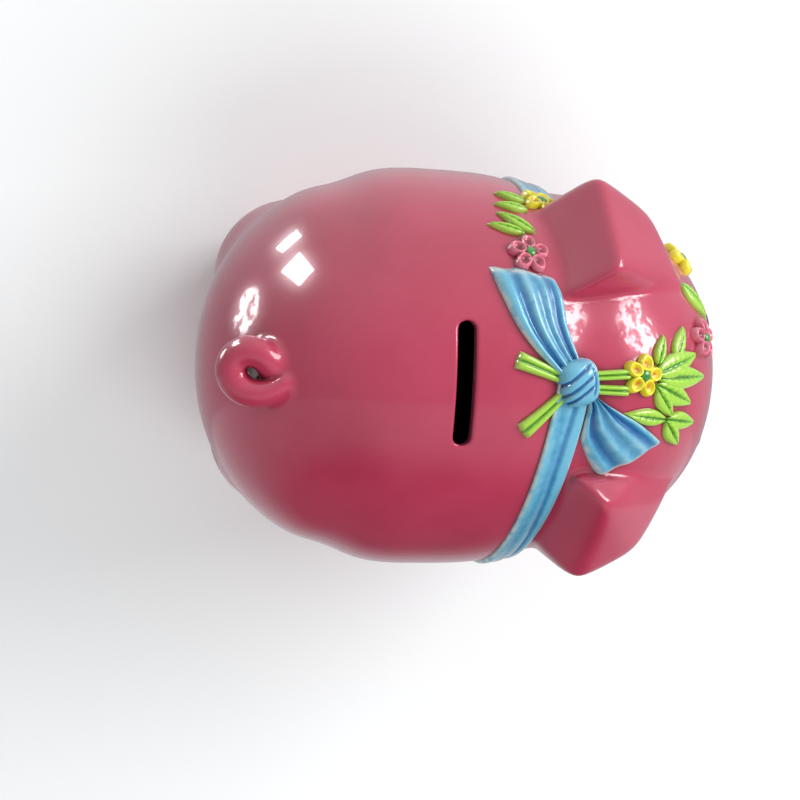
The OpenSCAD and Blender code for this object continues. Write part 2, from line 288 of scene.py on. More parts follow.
class Nodes:
    """A short way to write a node tree."""

    def __init__(self, name):
        self.material = bpy.data.materials.new(name)
        self.material.use_nodes = True
        self.tree = self.material.node_tree
        self.shader = self.tree.nodes["Principled BSDF"]

    def add(self, kind, inputs=None, **settings):
        node = self.tree.nodes.new(kind)
        for key, value in settings.items():
            setattr(node, key, value)
        for key, value in (inputs or {}).items():
            self.put(node.inputs[key], value)
        return node

    def put(self, socket, value):
        if isinstance(value, bpy.types.NodeSocket):
            self.tree.links.new(value, socket)
        else:
            socket.default_value = value

    def mark(self, name):
        return self.add("ShaderNodeAttribute", attribute_name=name).outputs["Fac"]

    def place(self):
        return self.add("ShaderNodeTexCoord").outputs["Object"]

    def noise(self, scale, detail=3.0, vector=None, rough=0.5):
        inputs = {"Scale": scale, "Detail": detail, "Roughness": rough, "Vector": vector or self.place()}
        return self.add("ShaderNodeTexNoise", inputs).outputs["Fac"]

    def ramp(self, value, stops):
        node = self.add("ShaderNodeValToRGB", {"Fac": value})
        ramp = node.color_ramp
        while len(ramp.elements) < len(stops):
            ramp.elements.new(0.5)
        for element, (position, colour) in zip(ramp.elements, stops):
            element.position, element.color = position, colour
        return node.outputs["Color"]

    def spread(self, value, low, high, to_low=0.0, to_high=1.0):
        inputs = {"Value": value, "From Min": low, "From Max": high, "To Min": to_low, "To Max": to_high}
        return self.add("ShaderNodeMapRange", inputs, interpolation_type="SMOOTHSTEP").outputs["Result"]

    def blend(self, amount, a, b, kind="MIX"):
        node = self.add("ShaderNodeMix", data_type="RGBA", blend_type=kind)
        for socket, value in zip((node.inputs[0], node.inputs[6], node.inputs[7]), (amount, a, b)):
            self.put(socket, value)
        return node.outputs[2]

    def maths(self, operation, a, b=0.0):
        return self.add("ShaderNodeMath", {0: a, 1: b}, operation=operation).outputs[0]

    def bumps(self, height, strength, distance):
        inputs = {"Height": height, "Strength": strength, "Distance": distance}
        return self.add("ShaderNodeBump", inputs).outputs["Normal"]

    def finish(self, colour, rough=0.28, coat=1.0, coat_rough=0.03, normal=None, specular=0.5, **more):
        self.put(self.shader.inputs["Base Color"], colour)
        self.put(self.shader.inputs["Roughness"], rough)
        self.put(self.shader.inputs["Specular IOR Level"], specular)
        self.put(self.shader.inputs["Coat Weight"], coat)
        self.put(self.shader.inputs["Coat Roughness"], coat_rough)
        if normal is not None:
            self.put(self.shader.inputs["Normal"], normal)
            self.put(self.shader.inputs["Coat Normal"], normal)
        for key, value in more.items():
            self.put(self.shader.inputs[key.replace("_", " ").title()], value)
        return self.material


def crevice(n, distance):
    """How shut in a place is, from ambient occlusion: 0 in the open and 1 in a crease, used for painted
    shade.
    """
    ao = n.add("ShaderNodeAmbientOcclusion", {"Distance": distance}, samples=8)
    return n.maths("SUBTRACT", 1.0, ao.outputs["AO"])


def pink_glaze(name, light, dark):
    """Transparent rose glaze: thin and pale on the high places, deep red in creases as pooled glaze and
    painted shade.
    """
    n = Nodes(name)
    cloud = n.spread(n.noise(38.0, 4.0), 0.3, 0.7)
    body = n.blend(n.maths("MULTIPLY", cloud, 0.35), light, dark)
    # Painted shade: places shut in by ambient occlusion turn deep red, for glaze pooled in creases and the
    # shade there.
    pooled_and_shaded = n.spread(crevice(n, 0.005), 0.08, 0.6)
    colour = n.blend(pooled_and_shaded, body, srgb(112, 10, 26))
    height = n.add("ShaderNodeSeparateXYZ", {0: n.place()}).outputs["Z"]
    unglazed = n.spread(height, 0.0006, 0.0011, 1.0, 0.0)
    grain = n.ramp(n.noise(900.0, 4.0), [(0.3, srgb(214, 205, 188)), (0.7, srgb(236, 230, 216))])
    colour = n.blend(unglazed, colour, grain)
    wave = n.bumps(n.noise(55.0, 1.0), 0.02, 0.002)
    rough = n.spread(unglazed, 0.0, 1.0, 0.24, 0.8)
    coat = n.spread(unglazed, 0.0, 1.0, 1.0, 0.0)
    return n.finish(
        colour, rough, coat, 0.025, wave,
        sheen_weight=0.18, sheen_roughness=0.4, sheen_tint=srgb(250, 140, 176),
    )


def relief_glaze(name, stops, edge, crease_shade, wave_scale=260.0):
    """A brushed coloured glaze: "fold" says how deep a groove is, "edge" how near the rim, and creases take
    a darker colour as painted shade.
    """
    n = Nodes(name)
    fold = n.mark("fold")
    streak = n.noise(420.0, 4.0, rough=0.6)
    deep = n.maths("ADD", fold, n.maths("MULTIPLY", n.maths("SUBTRACT", streak, 0.5), 0.5))
    colour = n.ramp(deep, stops)
    rim = n.maths("MULTIPLY", n.mark("edge"), n.spread(n.noise(300.0), 0.25, 0.6))
    colour = n.blend(rim, colour, edge)
    # Painted shade: places shut in by ambient occlusion take the darker crease colour.
    colour = n.blend(n.spread(crevice(n, 0.0015), 0.35, 0.9, 0.0, 0.7), colour, crease_shade)
    wave = n.bumps(n.noise(wave_scale, 2.0), 0.06, 0.0012)
    return n.finish(colour, 0.25, 1.0, 0.03, wave)


def plain_glaze(name, a, b):
    n = Nodes(name)
    colour = n.blend(n.spread(n.noise(700.0), 0.3, 0.7), a, b)
    return n.finish(colour, 0.2, 1.0, 0.02)


def rubber(name):
    n = Nodes(name)
    colour = n.ramp(n.noise(500.0, 5.0), [(0.3, srgb(34, 34, 37)), (0.7, srgb(52, 52, 55))])
    return n.finish(colour, 0.55, 0.0, 0.3, n.bumps(n.noise(1800.0, 3.0), 0.25, 0.0002), specular=0.35)


def dark_inside(name):
    """The unglazed inside of the casting, coloured dark brown as painted shade inside the body."""
    n = Nodes(name)
    colour = n.ramp(n.noise(300.0, 4.0), [(0.3, srgb(60, 40, 38)), (0.7, srgb(84, 58, 54))])
    return n.finish(colour, 0.9, 0.0, 0.3, specular=0.2)


PINK = pink_glaze("pink_glaze", srgb(186, 58, 88), srgb(160, 34, 64))
DARK_INSIDE = dark_inside("shaded_inside")
# The last colour of each relief glaze is the painted shade for its creases.
ROSE = relief_glaze(
    "rose_glaze",
    [(0.1, srgb(204, 82, 110)), (0.45, srgb(176, 48, 78)), (0.85, srgb(104, 14, 32))],
    srgb(224, 136, 156),
    srgb(96, 16, 30),
)
YELLOW = relief_glaze(
    "yellow_glaze",
    [(0.15, srgb(232, 220, 24)), (0.5, srgb(226, 198, 10)), (0.9, srgb(200, 118, 6))],
    srgb(240, 230, 60),
    srgb(176, 120, 10),
)
GREEN = relief_glaze(
    "green_glaze",
    [(0.1, srgb(160, 208, 62)), (0.4, srgb(120, 184, 42)), (0.85, srgb(58, 116, 18))],
    srgb(184, 210, 106),
    srgb(44, 78, 16),
)
BLUE = relief_glaze(
    "blue_glaze",
    [(0.05, srgb(104, 178, 206)), (0.35, srgb(64, 142, 182)), (0.85, srgb(14, 90, 154))],
    srgb(196, 214, 208),
    srgb(16, 66, 118),
)
DARK_GREEN = plain_glaze("dark_green_glaze", srgb(44, 122, 46), srgb(78, 158, 62))
BLACK = plain_glaze("black_glaze", srgb(12, 10, 12), srgb(20, 16, 18))
RUBBER = rubber("rubber")

# ---------------------------------------------------------------- body shell

STATIONS, AROUND = 132, 200


def stadium(reach, radius):
    """Nearest place on a rounded slot's outline, and the way out of it, for flat points."""

    def nearest(q):
        spine = np.stack([np.zeros(len(q)), np.clip(q[:, 1], -reach, reach)], 1)
        way = q - spine
        way /= np.linalg.norm(way, axis=1, keepdims=True)
        return spine + radius * way, way

    return nearest


def skin_grid(offset):
    """Points all over the body at an offset from its surface, from the rump to the brow."""
    a = np.linspace(0, math.pi, STATIONS + 1)[1:-1]
    n = np.where(a > math.pi / 2, BROW_POWER, RUMP_POWER)
    reach = np.where(a > math.pi / 2, BROW_LEN, RUMP_LEN)
    x = -np.sign(np.cos(a)) * reach * np.abs(np.cos(a)) ** (2 / n)
    r = BODY_R * np.sin(a) ** (2 / n)
    t = np.linspace(0, 2 * math.pi, AROUND, endpoint=False)
    grid = np.stack(
        [np.repeat(x[:, None], AROUND, 1), r[:, None] * np.sin(t), r[:, None] * np.cos(t)], -1
    )
    flat = settle(body_field, grid.reshape(-1, 3), 0.0, 8, 3.0)
    if offset:
        flat = flat + offset * normals_of(body_field, flat)
    return smooth_rump(flat.reshape(grid.shape), t)


def smooth_rump(grid, t):
    """The three rings next to the rump's pole, set on the parabola that the next rings give."""
    ends = [(grid[k, :, 0].mean(), np.hypot(grid[k, :, 1], grid[k, :, 2]).mean()) for k in (3, 6)]
    (near, small), (far, large) = ends
    bend = (far - near) / (large**2 - small**2)
    for k in range(3):
        r = small * (k + 1) / 4
        grid[k, :, 0] = near + bend * (r**2 - small**2)
        grid[k, :, 1] = r * np.sin(t)
        grid[k, :, 2] = r * np.cos(t)
    return grid


def window_loop(grid, centre, half, up):
    """The loop of grid places round a hole, as row and column indices."""
    rows = np.where(np.abs(grid[:, 0, 0] - centre) < half[0])[0]
    middle = 0 if up > 0 else AROUND // 2
    span = int(round(half[1] / BODY_R / (2 * math.pi) * AROUND))
    first, last = rows[0] - 1, rows[-1] + 1
    cols = np.arange(middle - span, middle + span + 1)
    loop = [(first, c) for c in cols[:-1]] + [(r, cols[-1]) for r in range(first, last)]
    loop += [(last, c) for c in cols[:0:-1]] + [(r, cols[0]) for r in range(last, first, -1)]
    return [(r, c % AROUND) for r, c in loop], (first, last, cols[0], cols[-1])


def build_shell():
    """The glazed skin and the bare inside of the body, with rounded edges at its two holes."""
    holes = [
        (SLOT_X, 1, (9.5, 25.0), stadium(SLOT_REACH, SLOT_R)),
        (STOPPER_X, -1, (27.0, 28.0), stadium(0.0, STOPPER_HOLE_R)),
    ]
    points, faces = [], []

    def add(block):
        start = sum(len(b) for b in points)
        points.append(block)
        return np.arange(start, start + len(block))

    def bridge(a, b, inner):
        quads = np.stack([a, np.roll(a, -1), np.roll(b, -1), b], 1)
        faces.extend(quads[:, ::-1] if inner else quads)

    grids, index = {}, {}
    for inner in (False, True):
        grid = skin_grid(-WALL if inner else 0.0)
        at = add(grid.reshape(-1, 3)).reshape(grid.shape[:2])
        grids[inner], index[inner] = grid, at
        cut = np.zeros(at.shape, bool)
        for centre, up, half, _ in holes:
            _, (r0, r1, c0, c1) = window_loop(grids[False], centre, half, up)
            for c in range(c0, c1):
                cut[r0:r1, c % AROUND] = True
        beside = np.roll(at, -1, axis=1)
        quads = np.stack([at[:-1], at[1:], beside[1:], beside[:-1]], -1)[~cut[:-1]].reshape(-1, 4)
        faces.extend(quads if inner else quads[:, ::-1])
        for row in (0, -1):
            middle = grid[row].mean(axis=0)
            step = middle - grid[1 if row == 0 else -2].mean(axis=0)
            pole = add((middle + step / 3)[None])[0]
            ring, nxt = at[row], np.roll(at[row], -1)
            fan = [(a, b, pole) for a, b in zip(ring, nxt)]
            if (row == 0) != inner:
                fan = [f[::-1] for f in fan]
            faces.extend(fan)
    for centre, up, half, nearest in holes:
        loop, _ = window_loop(grids[False], centre, half, up)
        rows, cols = np.array(loop).T
        way = np.array([0.0, 0.0, float(up)])
        rings = {}
        for inner in (False, True):
            edge = grids[inner][rows, cols]
            rim, out = nearest(edge[:, :2] - np.array([centre, 0.0]))
            rim = rim + np.array([centre, 0.0])
            start = rim + out * (0.0 if inner else LIP_R)
            chain = [index[inner][rows, cols]]
            for t in (0.12, 0.27, 0.45, 0.63, 0.79, 0.91, 1.0):
                flat = edge[:, :2] * (1 - t) + start * t
                guess = np.column_stack([flat, edge[:, 2]])
                chain.append(add(slide_to(body_field, guess, way, -WALL if inner else 0.0)))
            rings[inner] = (chain, rim, out)
        chain, rim, out = rings[False]
        for a in np.linspace(0, math.pi / 2, 6)[1:]:
            flat = rim + out * LIP_R * (1 - math.sin(a))
            guess = np.column_stack([flat, np.full(len(flat), up * BODY_R * 0.95)])
            ring = slide_to(body_field, guess, way, 0.0)
            ring[:, 2] -= up * LIP_R * (1 - math.cos(a))
            chain.append(add(ring))
        for a, b in zip(chain[:-1], chain[1:]):
            bridge(a, b, up < 0)
        inside = rings[True][0]
        for a, b in zip(inside[:-1], inside[1:]):
            bridge(a, b, up > 0)
        bridge(chain[-1], inside[-1], up < 0)
    shell = new_piece("body_skin", np.concatenate(points), faces, PINK, ["body_shell"])
    # The inside gets a dark brown as painted shade.
    shell.data.materials.append(DARK_INSIDE)
    inner_points = set(index[True].reshape(-1).tolist())
    for polygon in shell.data.polygons:
        if any(v in inner_points for v in polygon.vertices):
            polygon.material_index = 1


build_shell()

# ---------------------------------------------------------------- ears, legs, snout and tail


def hull_planes(points):
    """The planes of the points' convex hull, as outward normals and distances."""
    hull = bmesh.new()
    for p in points:
        hull.verts.new(p)
    bmesh.ops.convex_hull(hull, input=hull.verts)
    middle = np.mean(points, axis=0)
    planes = []
    for face in hull.faces:
        n, at = np.array(face.normal), np.array(face.verts[0].co)
        n = -n if (at - middle) @ n < 0 else n
        planes.append((n, n @ at))
    hull.free()
    return planes


def rounded_planes(p, planes, grow, sharp):
    """A convex lump bounded by planes, with its edges rounded over about 1 / sharp."""
    far = np.stack([p @ n - h - grow for n, h in planes])
    top = far.max(0)
    return top + np.log(np.exp(sharp * (far - top)).sum(0)) / sharp


EAR_LEFT = hull_planes([
    (54, 37.5, 60.7), (68, 52, 41.5), (51.5, 61.8, 44), (43, 30.5, 56), (63, 33, 51.5),
    (79, 34, 39), (36.5, 51, 37.5), (45.5, 54.5, 20), (67, 51, 20),
])
EAR_RIGHT = hull_planes([
    (55, 37.5, 60), (70.5, 53, 41), (53, 61.7, 42.5), (48, 31, 55.5), (63, 32, 52),
    (81, 34.5, 38), (41.5, 50.5, 37), (45, 55, 20), (68, 51, 20),
])
EAR_GROW = 4.0                            # the ear's planes stand this far outside its corners
HOLLOW_LEFT = np.array([61.5, 27.0, 66.5])
HOLLOW_RIGHT = HOLLOW_LEFT + (2.5, 0.8, -0.8)
HOLLOW_R, HOLLOW_HALF = 9.6, 38.0         # the long round hollow's radius and half its length
HOLLOW_WAY = np.array([0.94, 0.15, -0.31])


def ear_alone(planes, side, sharp, centre):
    """A folded ear as a lump with flat faces, hollowed on the side towards the other ear."""

    def field(p):
        p = p * np.array([1, side, 1])
        q = p - centre
        along = q @ HOLLOW_WAY
        off = np.linalg.norm(q - along[:, None] * HOLLOW_WAY, axis=1)
        hollow = HOLLOW_R - np.hypot(off, along * HOLLOW_R / HOLLOW_HALF)
        return smooth_max(rounded_planes(p, planes, EAR_GROW, sharp), hollow, 1.6)

    return field


def leg_alone(at):
    """A stubby leg that narrows a little towards the top and ends inside the body."""

    def field(p):
        height = p[:, 2] + AXIS_Z
        wall = np.hypot(p[:, 0] - at[0], p[:, 1] - at[1]) - (14.3 - 0.03 * height)
        return smooth_max(np.maximum(wall, p[:, 2] + 15), -height, 2.5)

    return field


def snout_alone(p):
    """A short round snout with a shallow dish at its end and two nostrils."""
    rho = np.hypot(p[:, 1], p[:, 2] + 22)
    dish = 0.9 * np.clip(1 - (rho / 15.5) ** 2, 0, 1)
    lump = smooth_max(np.maximum(rho - 19.3, 70 - p[:, 0]), p[:, 0] - (112 - dish), 3.5)
    for side in (-1, 1):
        hole = np.hypot(p[:, 1] - side * 6.5, (p[:, 2] + 22) * 0.85) - 2.7
        lump = smooth_max(lump, -np.maximum(hole, 107.6 - p[:, 0]), 1.4)
    return lump


def tail_line(t):
    """The middle line of the curl, from its free tip round to its root in the rump."""
    a = np.radians(TAIL_START - TAIL_SWEEP * t)
    reach = TAIL_R + TAIL_OUT * (1 - t) ** 4
    x, y = reach * np.cos(a), reach * np.sin(a)
    z = -3.8 + 6.3 * np.sin(math.pi * t) - 4.2 * t
    lean = math.radians(TAIL_LEAN)
    return np.stack(
        [x * math.cos(lean) + z * math.sin(lean), y, z * math.cos(lean) - x * math.sin(lean)], 1
    ) + np.array(TAIL_AT)


TAIL_AT, TAIL_LEAN = (-57.5, 1.4, 51.5), -33.0
TAIL_START, TAIL_SWEEP, TAIL_R, TAIL_OUT = -24.0, 372.0, 4.9, 5.6
TAIL_T = np.linspace(0, 1, 110)
TAIL_LINE = tail_line(TAIL_T)
TAIL_THICK = 2.6 + 2.7 * (1 - np.exp(-TAIL_T / 0.12)) - 0.6 * TAIL_T


def tail_alone(p):
    best = np.full(len(p), 1e9)
    for c, r in zip(TAIL_LINE, TAIL_THICK):
        best = np.minimum(best, np.linalg.norm(p - c, axis=1) - r)
    return best


def casting(alone, fillet, deep=2.6):
    """A lump joined to the body by a fillet and sunk into it, without the rest of the body."""

    def field(p):
        skin = body_field(p)
        lump = alone(p)
        joined = smooth_min(lump, skin + 0.012, fillet)
        return np.maximum(np.maximum(joined, -(skin + deep)), lump - fillet - 1)

    return field


def cast_piece(name, alone, fillet, low, high, step, nodes):
    field = casting(alone, fillet)
    points, faces = surface_net(field, low, high, step)
    points = settle(field, points, rounds=3, most=step * 0.4)
    return new_piece(name, points, faces, PINK, nodes, normals_of(field, points))


left_ear = ear_alone(EAR_LEFT, 1, 1.0, HOLLOW_LEFT)
right_ear = ear_alone(EAR_RIGHT, -1, 0.75, HOLLOW_RIGHT)
cast_piece("left_ear", left_ear, 2.4, (26, 17, 4), (98, 74, 74), 0.9, ["ear_left"])
cast_piece("right_ear", right_ear, 2.4, (26, -74, 4), (98, -17, 74), 0.9, ["ear_right"])
for node, at in (
    ("leg_front_left", (16, 33)), ("leg_front_right", (16, -33)),
    ("leg_rear_left", (-42, 33)), ("leg_rear_right", (-42, -33)),
):
    x, y = at
    low, high = (x - 27, y - 27, -AXIS_Z - 2), (x + 27, y + 27, -28)
    cast_piece(node + "_cast", leg_alone(at), 8.0, low, high, 1.1, [node])
cast_piece("snout_cast", snout_alone, 8.0, (72, -31, -54), (116, 31, 10), 0.9, ["snout"])
cast_piece("tail_curl", tail_alone, 3.5, (-84, -20, 28), (-30, 22, 76), 0.7, ["tail"])

# ---------------------------------------------------------------- ribbon and bow

KNOT = surface_x(KNOT_X, 1.0)
BAND_W, RIBBON_H, BOW_H = 11.5, 1.6, 2.8


def across(count):
    """Places across a strip from -1 to 1, closer together near its edges."""
    return np.sin(np.linspace(-math.pi / 2, math.pi / 2, count))


def dome(u, power=6.0):
    return np.sqrt(np.clip(1 - np.abs(u) ** power, 0, 1))


def lines_at(u, places, width):
    return sum(np.exp(-(((u - p) / width) ** 2)) for p in places)


def solid_relief(place_top, place_bottom, marks):
    points, faces = slab(place_top, place_bottom)
    return points, faces, {k: np.concatenate([v.reshape(-1)] * 2) for k, v in marks.items()}


def joined(parts):
    """Several closed shapes as the points, faces and marks of one mesh."""
    points, faces, marks, start = [], [], {}, 0
    for p, f, m in parts:
        points.append(p)
        faces.extend((np.asarray(q) + start).tolist() for q in f)
        start += len(p)
        for k, v in m.items():
            marks.setdefault(k, []).append(v)
    return np.concatenate(points), faces, {k: np.concatenate(v) for k, v in marks.items()}


def sprig(name, parts, material, nodes):
    points, faces, marks = joined(parts)
    return new_piece(name, points, faces, material, nodes, marks=marks)


def strip(base, flat, heights, marks):
    """A closed relief over a grid of flat places round a base on the body."""
    shape = flat.shape[:2]
    flat2 = flat.reshape(-1, 2)
    top = lay(base, flat2, heights.reshape(-1)).reshape(*shape, 3)
    bottom = lay(base, flat2, np.full(len(flat2), -SINK)).reshape(*shape, 3)
    return solid_relief(top, bottom, marks)


def neck_band():
    """The ribbon round the neck, from behind the left nape flower to the knot."""
    angles, u = np.radians(np.linspace(66.0, 361.0, 300)), across(25)
    a, w = np.meshgrid(angles, u, indexing="ij")
    out = np.stack([np.zeros_like(a), np.sin(a), np.cos(a)], -1).reshape(-1, 3)
    slant = np.where(np.sin(a) > 0, 0.07, 0.15) * np.abs(np.sin(a)) * 64
    x = KNOT_X - slant + w * BAND_W / 2
    start = np.stack([x, 0 * x, 0 * x], -1).reshape(-1, 3) + out * BODY_R * 0.9
    wander = 0.10 * np.sin(3 * a) + 0.06 * np.sin(7 * a + 1)
    crease = np.exp(-(((w - 0.28 - wander) / 0.16) ** 2))
    hollow = np.exp(-(((w + 0.45 + wander) / 0.3) ** 2))
    fold = 0.8 * crease + 0.35 * hollow
    height = RIBBON_H * dome(w, 8) * (1 - 0.42 * fold) + 0.12 * np.sin(a * 9) * dome(w, 4)
    edge = np.exp(-(((w + 0.95) / 0.13) ** 2)) + 0.8 * np.exp(-(((w - 0.97) / 0.07) ** 2))
    top = slide_to(body_field, start, out, height.reshape(-1)).reshape(*a.shape, 3)
    bottom = slide_to(body_field, start, out, -SINK).reshape(*a.shape, 3)
    part = solid_relief(top, bottom, {"fold": fold * 0.8, "edge": np.clip(edge, 0, 1)})
    sprig("ribbon_round_neck", [part], BLUE, ["ribbon_band"])


def bow_tail(name, node, rear, front, bulge, pleats, width, lift):
    """One fanned end of the bow between its two edges, with pleats along it and a raised root."""
    s, v = np.linspace(0, 1, 60), across(61)
    a, b = curve_through(rear, 60), curve_through(front, 60)
    share = (v + 1) / 2
    flat = a[:, None] * (1 - share)[None, :, None] + b[:, None] * share[None, :, None]
    way = a[-1] + b[-1] - a[0] - b[0]
    way /= np.linalg.norm(way)
    ripple = bulge * (1 - v**2) + 0.35 * np.cos(v * 7)
    flat = flat + way * (ripple[None] * (s[:, None] ** 6))[..., None]
    ss, vv = np.meshgrid(s, v, indexing="ij")
    sway = vv + 0.05 * np.sin(ss * 4)
    depth = 0.75 + 0.25 * np.cos(sway * 5 + len(pleats))
    fold = np.clip(lines_at(sway, pleats, width), 0, 1) * (1 - 0.4 * ss**2) * depth
    swell = lines_at(sway, [p + 0.5 * (q - p) for p, q in zip(pleats[:-1], pleats[1:])], width)
    end = np.sqrt(np.clip(1 - ss**24, 0, 1))
    height = BOW_H * dome(vv, 7) * end * (1 - 0.62 * fold) + 0.25 * swell * dome(vv, 4) * end
    height = height + lift * np.exp(-((ss / 0.16) ** 2)) * dome(vv, 4)
    rim = np.exp(-(((np.abs(vv) - 0.97) / 0.07) ** 2)) + np.exp(-(((ss - 0.985) / 0.02) ** 2))
    part = strip(KNOT, flat, height, {"fold": fold, "edge": np.clip(rim + 0.25 * swell * ss, 0, 1)})
    sprig(name, [part], BLUE, [node])


def knot_wrap(local):
    """How deep the wrapped folds of the knot are at a place over it."""
    x, y = local[:, 0], local[:, 1]
    rise = lines_at(y - 0.52 * x, (3.2, -0.4, -3.4), 0.6) * np.clip((4.6 - x) / 1.5, 0, 1)
    wrap = lines_at(x + 0.05 * (y - 1) ** 2, (4.9,), 0.5) * np.clip((5.5 - np.abs(y)) / 2, 0, 1)
    return np.clip(rise + 0.7 * wrap, 0, 1)


def knot_local(p):
    """Places seen from the knot: along its width, across it and up."""
    origin, ahead, left, up = KNOT
    turn = math.radians(12)
    along = math.cos(turn) * ahead + math.sin(turn) * left
    side = math.cos(turn) * left - math.sin(turn) * ahead
    q = p - origin
    return np.stack([q @ along, q @ side, q @ up], 1)


def knot_alone(p):
    q = knot_local(p)
    pinch = 1 + 0.10 * (q[:, 1] / 7.6) ** 2
    power = 2.7
    sides = ((q[:, 0] - 0.6) / (6.9 * pinch), q[:, 1] / 7.5, q[:, 2] / 6.1)
    s = sum(np.abs(side) ** power for side in sides)
    s = np.maximum(s, 1e-9) ** (1 / power)
    return (s - 1) * 6.2 + 0.75 * knot_wrap(q)


def bow_knot():
    origin = KNOT[0]
    points, faces = surface_net(
        lambda p: np.maximum(knot_alone(p), -(body_field(p) + 1.5)), origin - 11, origin + 11, 0.45
    )
    fold = knot_wrap(knot_local(points))
    rim = np.clip(1 - np.abs(fold - 0.25) * 6, 0, 1) * 0.4
    normals = normals_of(knot_alone, points)
    marks = {"fold": fold, "edge": rim}
    new_piece("bow_wrap", points, faces, BLUE, ["bow_knot"], normals, marks)


neck_band()
bow_tail(
    "bow_end_left", "bow_tail_left",
    [(-4, 1), (-7.7, 3.5), (-15.3, 11), (-20.3, 18), (-24, 27), (-26, 34)],
    [(2, 3), (0.4, 8.4), (-2.5, 17.5), (-3, 26), (-4.6, 31.5)],
    1.6, (-0.42, 0.12, 0.6), 0.17, 0.9,
)
bow_tail(
    "bow_end_right", "bow_tail_right",
    [(2.5, -1), (5.0, -7), (4.5, -12), (4.6, -17.5), (8, -23.5), (13.5, -30)],
    [(5.8, -1.0), (7.3, -4.4), (15, -8.5), (22.8, -12), (34.6, -18.6)],
    0.8, (-0.55, 0.05, 0.62), 0.2, 0.9,
)
bow_knot()

# ---------------------------------------------------------------- stems, leaves and flowers

LEAF_H, PETAL_H, FLOWER_R = 1.8, 2.6, 7.2


def stem(start, end, widths, height=LEAF_H):
    """A grooved stem between two flat places round the knot, cut off at its far end."""
    start, end = np.array(start, float), np.array(end, float)
    way = (end - start) / np.linalg.norm(end - start)
    side = np.array([-way[1], way[0]])
    s, u = np.linspace(0, 1, 30), across(21)
    width = widths[0] + (widths[1] - widths[0]) * s
    cut = 0.5 * np.abs(u)[None] * (s[:, None] ** 12)
    flat = start + (end - start) * s[:, None, None] - way * cut[..., None]
    flat = flat + side * (u[None, :, None] * width[:, None, None] / 2)
    ss, uu = np.meshgrid(s, u, indexing="ij")
    fold = np.exp(-((uu / 0.2) ** 2))
    h = height * dome(uu, 5) * np.sqrt(np.clip(1 - ss**30, 0, 1)) * (1 - 0.5 * fold)
    rim = np.exp(-(((np.abs(uu) - 0.9) / 0.1) ** 2)) + np.exp(-(((ss - 0.97) / 0.03) ** 2))
    return strip(KNOT, flat, h, {"fold": 0.85 * fold, "edge": np.clip(rim, 0, 1) * 0.8})


def leaf(place, heading, size, height=LEAF_H, bend=0.0):
    """A pointed leaf with a grooved midrib and shallow side veins."""
    base = surface_x(*place)
    turn = math.radians(heading)
    s, u = np.linspace(0, 1, 44), across(25)
    half = size[1] / 2 * np.sin(math.pi * s**0.8)
    ss, uu = np.meshgrid(s, u, indexing="ij")
    along, aside = ss * size[0], uu * half[:, None] + bend * np.sin(math.pi * ss) * size[1]
    flat_x = along * math.cos(turn) - aside * math.sin(turn)
    flat_y = along * math.sin(turn) + aside * math.cos(turn)
    flat = np.stack([flat_x, flat_y], -1)
    rib = np.exp(-((uu / 0.16) ** 2)) * (1 - ss**3)
    count = size[0] / 2.6
    vein = np.clip(np.sin((ss * count - np.abs(uu) * 0.9) * 2 * math.pi), 0, 1) ** 3 * (1 - np.abs(uu) ** 3)
    swell = 0.72 + 0.28 * np.sin(math.pi * np.clip(ss * 1.05, 0, 1))
    h = height * swell * dome(uu, 5) * (1 - 0.5 * rib - 0.10 * vein) * np.clip(ss * 12 + 0.3, 0, 1)
    h = h * np.clip((1 - ss) * 9, 0, 1) ** 0.5
    rim = np.exp(-(((np.abs(uu) - 0.86) / 0.13) ** 2))
    fold = np.clip(0.95 * rib + 0.3 * vein + 0.5 * np.clip(1 - ss * 6, 0, 1), 0, 1)
    return strip(base, flat, h, {"fold": fold, "edge": rim * 0.6})


def rings_on(base, radii, heights, marks, centre_height, centre_marks, around):
    """A closed round relief from rings of places round a base, outermost last."""
    angle = np.linspace(0, 2 * math.pi, around, endpoint=False)
    flat = np.stack([radii * np.cos(angle), radii * np.sin(angle)], -1).reshape(-1, 2)
    top = lay(base, flat, heights.reshape(-1))
    rim = lay(base, flat[-around:], np.full(around, -SINK))
    middle = lay(base, np.zeros((1, 2)), np.array([centre_height]))
    under = lay(base, np.zeros((1, 2)), np.array([-SINK]))
    points = np.concatenate([top, rim, middle, under])
    rows = len(radii) + 1
    faces = []
    for r in range(rows - 1):
        for c in range(around):
            d = (c + 1) % around
            faces.append((r * around + c, (r + 1) * around + c, (r + 1) * around + d, r * around + d))
    for c in range(around):
        d = (c + 1) % around
        faces.append((rows * around, c, d))
        faces.append((rows * around + 1, (rows - 1) * around + d, (rows - 1) * around + c))
    out = {}
    for k, v in marks.items():
        out[k] = np.concatenate([v.reshape(-1), v[-1], [centre_marks[k]], [0.0]])
    return points, faces, out


